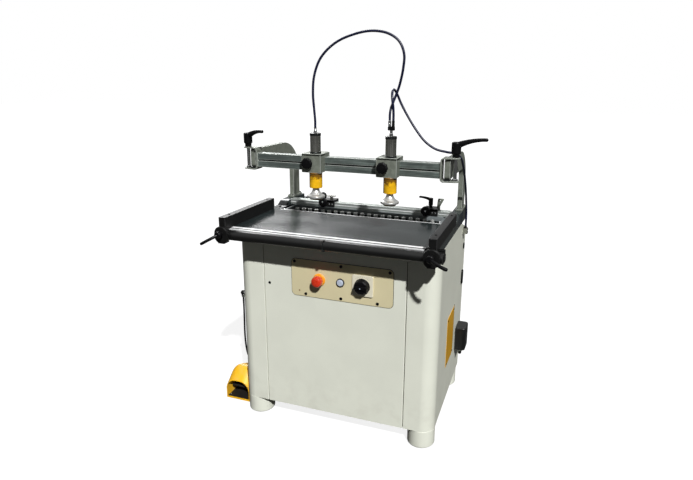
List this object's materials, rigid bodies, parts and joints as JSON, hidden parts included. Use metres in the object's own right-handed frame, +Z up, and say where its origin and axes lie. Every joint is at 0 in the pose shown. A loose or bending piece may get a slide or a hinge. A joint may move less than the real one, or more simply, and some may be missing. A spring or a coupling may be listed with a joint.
{
  "type": "multi-spindle boring machine",
  "caption": "Floor-standing boring machine: cabinet on round feet, table with side fences, tilting geared head with a row of spindles, and two pneumatic pressers on a beam, with foot pedal.",
  "frame": {"origin": "on the floor, under the middle of the machine box measured without the free hoses", "axes": "+X to the right seen from the front, +Y from the front to the rear, +Z up"},
  "size_m": [1.122, 0.7972, 1.6317],
  "materials": {
    "cream_paint": "satin powder coat, cream white",
    "frame_paint": "satin powder coat, cream grey",
    "table_paint": "glossy dark blue-grey paint",
    "black_paint": "satin black",
    "galvanised": "galvanised, matt grey-green",
    "spindle_steel": "ground steel",
    "bright_aluminium": "bare aluminium",
    "black_plastic": "moulded, satin black",
    "beige_plate": "matt beige",
    "yellow_paint": "glossy yellow paint",
    "red_plastic": "glossy red",
    "pale_plastic": "translucent pale blue",
    "hose_blue": "smooth navy blue tube",
    "hose_black": "smooth black tube",
    "cast_grey": "grey machine paint"
  },
  "bodies": {
    "cabinet": {"base_frame": "frame_paint", "left_side_shell": "cream_paint", "right_side_shell": "cream_paint", "front_panel": "cream_paint", "table_top": "table_paint", "front_rail": "black_paint", "control_plate": "beige_plate", "isolator_box": "black_plastic", "left_arm": "galvanised", "right_arm": "galvanised", "pedal_guard": "yellow_paint", "supply_hose": "hose_blue", "pedal_hose": "hose_black"},
    "treadle": {"pedal_treadle": "black_plastic"},
    "emergency_stop": {"estop_button": "red_plastic"},
    "start": {"start_button": "pale_plastic"},
    "selector": {"selector_knob": "black_plastic"},
    "beam": {"presser_beam": "galvanised", "link_hose": "hose_blue"},
    "left_saddle_clamp": {"left_saddle_lever": "black_plastic"},
    "right_saddle_clamp": {"right_saddle_lever": "black_plastic"},
    "left_carriage": {"left_presser_carriage": "galvanised"},
    "right_carriage": {"right_presser_carriage": "galvanised"},
    "left_knob": {"left_presser_knob": "black_plastic"},
    "right_knob": {"right_presser_knob": "black_plastic"},
    "left_foot": {"left_presser_foot": "bright_aluminium"},
    "right_foot": {"right_presser_foot": "bright_aluminium"},
    "left_fence": {"left_side_fence": "black_paint"},
    "right_fence": {"right_side_fence": "black_paint"},
    "left_fence_clamp": {"left_fence_lever": "black_plastic"},
    "right_fence_clamp": {"right_fence_lever": "black_plastic"},
    "tilting_frame": {"tilt_frame": "cast_grey", "rear_fence_rail": "bright_aluminium"},
    "left_stop": {"left_stop_block": "black_paint"},
    "right_stop": {"right_stop_block": "black_paint"},
    "left_finger": {"left_stop_finger": "black_plastic"},
    "right_finger": {"right_stop_finger": "black_plastic"},
    "head": {"boring_head": "cast_grey", "drive_motor": "cast_grey"},
    "spindle_01": {"spindle_01": "spindle_steel"},
    "spindle_02": {"spindle_02": "spindle_steel"},
    "spindle_03": {"spindle_03": "spindle_steel"},
    "spindle_04": {"spindle_04": "spindle_steel"},
    "spindle_05": {"spindle_05": "spindle_steel"},
    "spindle_06": {"spindle_06": "spindle_steel"},
    "spindle_07": {"spindle_07": "spindle_steel"},
    "spindle_08": {"spindle_08": "spindle_steel"},
    "spindle_09": {"spindle_09": "spindle_steel"},
    "spindle_10": {"spindle_10": "spindle_steel"},
    "spindle_11": {"spindle_11": "spindle_steel"},
    "spindle_12": {"spindle_12": "spindle_steel"},
    "spindle_13": {"spindle_13": "spindle_steel"},
    "spindle_14": {"spindle_14": "spindle_steel"},
    "spindle_15": {"spindle_15": "spindle_steel"},
    "spindle_16": {"spindle_16": "spindle_steel"},
    "spindle_17": {"spindle_17": "spindle_steel"},
    "spindle_18": {"spindle_18": "spindle_steel"},
    "spindle_19": {"spindle_19": "spindle_steel"},
    "spindle_20": {"spindle_20": "spindle_steel"},
    "spindle_21": {"spindle_21": "spindle_steel"}
  },
  "joints": [
    {"name": "treadle_press", "type": "hinge", "parent": "cabinet", "child": "treadle", "pos_m": [-0.5, -0.00535, 0.04], "axis": [1, 0, 0], "range_deg": [0, 10], "stiffness_Nm_per_rad": 4, "springref_deg": -8.59},
    {"name": "stop_button_press", "type": "slide", "parent": "cabinet", "child": "emergency_stop", "axis": [0, 1, 0], "range_m": [0, 0.005], "stiffness_N_per_m": 400, "springref_m": -0.003},
    {"name": "start_button_press", "type": "slide", "parent": "cabinet", "child": "start", "axis": [0, 1, 0], "range_m": [0, 0.003], "stiffness_N_per_m": 300, "springref_m": -0.003},
    {"name": "selector_turn", "type": "hinge", "parent": "cabinet", "child": "selector", "pos_m": [0.135, -0.22735, 0.68], "axis": [0, 1, 0], "range_deg": [-45, 45]},
    {"name": "beam_slide", "type": "slide", "parent": "cabinet", "child": "beam", "axis": [0, -1, 0], "range_m": [-0.15, 0], "deforming": ["supply_hose"]},
    {"name": "left_saddle_lever_turn", "type": "hinge", "parent": "beam", "child": "left_saddle_clamp", "pos_m": [-0.436, -0.07135, 1.18], "axis": [0, 0, 1], "range_deg": [-60, 60]},
    {"name": "right_saddle_lever_turn", "type": "hinge", "parent": "beam", "child": "right_saddle_clamp", "pos_m": [0.446, -0.07135, 1.18], "axis": [0, 0, 1], "range_deg": [-60, 60]},
    {"name": "left_presser_slide", "type": "slide", "parent": "beam", "child": "left_carriage", "axis": [1, 0, 0], "range_m": [-0.15, 0.11], "deforming": ["link_hose"]},
    {"name": "right_presser_slide", "type": "slide", "parent": "beam", "child": "right_carriage", "axis": [-1, 0, 0], "range_m": [-0.12, 0.11], "deforming": ["link_hose", "supply_hose"]},
    {"name": "left_presser_knob_turn", "type": "hinge", "parent": "left_carriage", "child": "left_knob", "pos_m": [-0.129, -0.13935, 1.134], "axis": [0, 1, 0], "range_deg": [-90, 90]},
    {"name": "right_presser_knob_turn", "type": "hinge", "parent": "right_carriage", "child": "right_knob", "pos_m": [0.182, -0.13935, 1.134], "axis": [0, 1, 0], "range_deg": [-90, 90]},
    {"name": "left_presser_stroke", "type": "slide", "parent": "left_carriage", "child": "left_foot", "axis": [0, 0, -1], "range_m": [0, 0.075], "stiffness_N_per_m": 250, "springref_m": -0.06},
    {"name": "right_presser_stroke", "type": "slide", "parent": "right_carriage", "child": "right_foot", "axis": [0, 0, -1], "range_m": [0, 0.075], "stiffness_N_per_m": 250, "springref_m": -0.06},
    {"name": "left_fence_slide", "type": "slide", "parent": "cabinet", "child": "left_fence", "axis": [1, 0, 0], "range_m": [0, 0.3]},
    {"name": "right_fence_slide", "type": "slide", "parent": "cabinet", "child": "right_fence", "axis": [-1, 0, 0], "range_m": [0, 0.25]},
    {"name": "left_fence_lever_turn", "type": "hinge", "parent": "left_fence", "child": "left_fence_clamp", "pos_m": [-0.4145, -0.34335, 0.866], "axis": [0, 1, 0], "range_deg": [-40, 40]},
    {"name": "right_fence_lever_turn", "type": "hinge", "parent": "right_fence", "child": "right_fence_clamp", "pos_m": [0.4245, -0.34335, 0.866], "axis": [0, 1, 0], "range_deg": [-40, 40]},
    {"name": "head_tilt", "type": "hinge", "parent": "cabinet", "child": "tilting_frame", "pos_m": [0.005, 0.10615, 0.8615], "axis": [1, 0, 0], "range_deg": [0, 90]},
    {"name": "left_stop_slide", "type": "slide", "parent": "tilting_frame", "child": "left_stop", "axis": [1, 0, 0], "range_m": [-0.15, 0.15]},
    {"name": "right_stop_slide", "type": "slide", "parent": "tilting_frame", "child": "right_stop", "axis": [1, 0, 0], "range_m": [-0.25, 0.035]},
    {"name": "left_finger_flip", "type": "hinge", "parent": "left_stop", "child": "left_finger", "pos_m": [-0.204, 0.18165, 0.905], "axis": [0, 1, 0], "range_deg": [0, 180]},
    {"name": "right_finger_flip", "type": "hinge", "parent": "right_stop", "child": "right_finger", "pos_m": [0.284, 0.18165, 0.905], "axis": [0, 1, 0], "range_deg": [0, 180]},
    {"name": "head_feed", "type": "slide", "parent": "tilting_frame", "child": "head", "axis": [0, 0, 1], "range_m": [-0.07, 0]},
    {"name": "spindle_01_spin", "type": "hinge", "parent": "head", "child": "spindle_01", "pos_m": [-0.315, 0.13965, 0.8], "axis": [0, 0, 1], "continuous": true},
    {"name": "spindle_02_spin", "type": "hinge", "parent": "head", "child": "spindle_02", "pos_m": [-0.283, 0.13965, 0.8], "axis": [0, 0, 1], "continuous": true},
    {"name": "spindle_03_spin", "type": "hinge", "parent": "head", "child": "spindle_03", "pos_m": [-0.251, 0.13965, 0.8], "axis": [0, 0, 1], "continuous": true},
    {"name": "spindle_04_spin", "type": "hinge", "parent": "head", "child": "spindle_04", "pos_m": [-0.219, 0.13965, 0.8], "axis": [0, 0, 1], "continuous": true},
    {"name": "spindle_05_spin", "type": "hinge", "parent": "head", "child": "spindle_05", "pos_m": [-0.187, 0.13965, 0.8], "axis": [0, 0, 1], "continuous": true},
    {"name": "spindle_06_spin", "type": "hinge", "parent": "head", "child": "spindle_06", "pos_m": [-0.155, 0.13965, 0.8], "axis": [0, 0, 1], "continuous": true},
    {"name": "spindle_07_spin", "type": "hinge", "parent": "head", "child": "spindle_07", "pos_m": [-0.123, 0.13965, 0.8], "axis": [0, 0, 1], "continuous": true},
    {"name": "spindle_08_spin", "type": "hinge", "parent": "head", "child": "spindle_08", "pos_m": [-0.091, 0.13965, 0.8], "axis": [0, 0, 1], "continuous": true},
    {"name": "spindle_09_spin", "type": "hinge", "parent": "head", "child": "spindle_09", "pos_m": [-0.059, 0.13965, 0.8], "axis": [0, 0, 1], "continuous": true},
    {"name": "spindle_10_spin", "type": "hinge", "parent": "head", "child": "spindle_10", "pos_m": [-0.027, 0.13965, 0.8], "axis": [0, 0, 1], "continuous": true},
    {"name": "spindle_11_spin", "type": "hinge", "parent": "head", "child": "spindle_11", "pos_m": [0.005, 0.13965, 0.8], "axis": [0, 0, 1], "continuous": true},
    {"name": "spindle_12_spin", "type": "hinge", "parent": "head", "child": "spindle_12", "pos_m": [0.037, 0.13965, 0.8], "axis": [0, 0, 1], "continuous": true},
    {"name": "spindle_13_spin", "type": "hinge", "parent": "head", "child": "spindle_13", "pos_m": [0.069, 0.13965, 0.8], "axis": [0, 0, 1], "continuous": true},
    {"name": "spindle_14_spin", "type": "hinge", "parent": "head", "child": "spindle_14", "pos_m": [0.101, 0.13965, 0.8], "axis": [0, 0, 1], "continuous": true},
    {"name": "spindle_15_spin", "type": "hinge", "parent": "head", "child": "spindle_15", "pos_m": [0.133, 0.13965, 0.8], "axis": [0, 0, 1], "continuous": true},
    {"name": "spindle_16_spin", "type": "hinge", "parent": "head", "child": "spindle_16", "pos_m": [0.165, 0.13965, 0.8], "axis": [0, 0, 1], "continuous": true},
    {"name": "spindle_17_spin", "type": "hinge", "parent": "head", "child": "spindle_17", "pos_m": [0.197, 0.13965, 0.8], "axis": [0, 0, 1], "continuous": true},
    {"name": "spindle_18_spin", "type": "hinge", "parent": "head", "child": "spindle_18", "pos_m": [0.229, 0.13965, 0.8], "axis": [0, 0, 1], "continuous": true},
    {"name": "spindle_19_spin", "type": "hinge", "parent": "head", "child": "spindle_19", "pos_m": [0.261, 0.13965, 0.8], "axis": [0, 0, 1], "continuous": true},
    {"name": "spindle_20_spin", "type": "hinge", "parent": "head", "child": "spindle_20", "pos_m": [0.293, 0.13965, 0.8], "axis": [0, 0, 1], "continuous": true},
    {"name": "spindle_21_spin", "type": "hinge", "parent": "head", "child": "spindle_21", "pos_m": [0.325, 0.13965, 0.8], "axis": [0, 0, 1], "continuous": true}
  ],
  "couplings": [
    {"joint": "spindle_01_spin", "follows": "spindle_11_spin", "ratio": 1},
    {"joint": "spindle_02_spin", "follows": "spindle_11_spin", "ratio": -1},
    {"joint": "spindle_03_spin", "follows": "spindle_11_spin", "ratio": 1},
    {"joint": "spindle_04_spin", "follows": "spindle_11_spin", "ratio": -1},
    {"joint": "spindle_05_spin", "follows": "spindle_11_spin", "ratio": 1},
    {"joint": "spindle_06_spin", "follows": "spindle_11_spin", "ratio": -1},
    {"joint": "spindle_07_spin", "follows": "spindle_11_spin", "ratio": 1},
    {"joint": "spindle_08_spin", "follows": "spindle_11_spin", "ratio": -1},
    {"joint": "spindle_09_spin", "follows": "spindle_11_spin", "ratio": 1},
    {"joint": "spindle_10_spin", "follows": "spindle_11_spin", "ratio": -1},
    {"joint": "spindle_12_spin", "follows": "spindle_11_spin", "ratio": -1},
    {"joint": "spindle_13_spin", "follows": "spindle_11_spin", "ratio": 1},
    {"joint": "spindle_14_spin", "follows": "spindle_11_spin", "ratio": -1},
    {"joint": "spindle_15_spin", "follows": "spindle_11_spin", "ratio": 1},
    {"joint": "spindle_16_spin", "follows": "spindle_11_spin", "ratio": -1},
    {"joint": "spindle_17_spin", "follows": "spindle_11_spin", "ratio": 1},
    {"joint": "spindle_18_spin", "follows": "spindle_11_spin", "ratio": -1},
    {"joint": "spindle_19_spin", "follows": "spindle_11_spin", "ratio": 1},
    {"joint": "spindle_20_spin", "follows": "spindle_11_spin", "ratio": -1},
    {"joint": "spindle_21_spin", "follows": "spindle_11_spin", "ratio": 1}
  ]
}
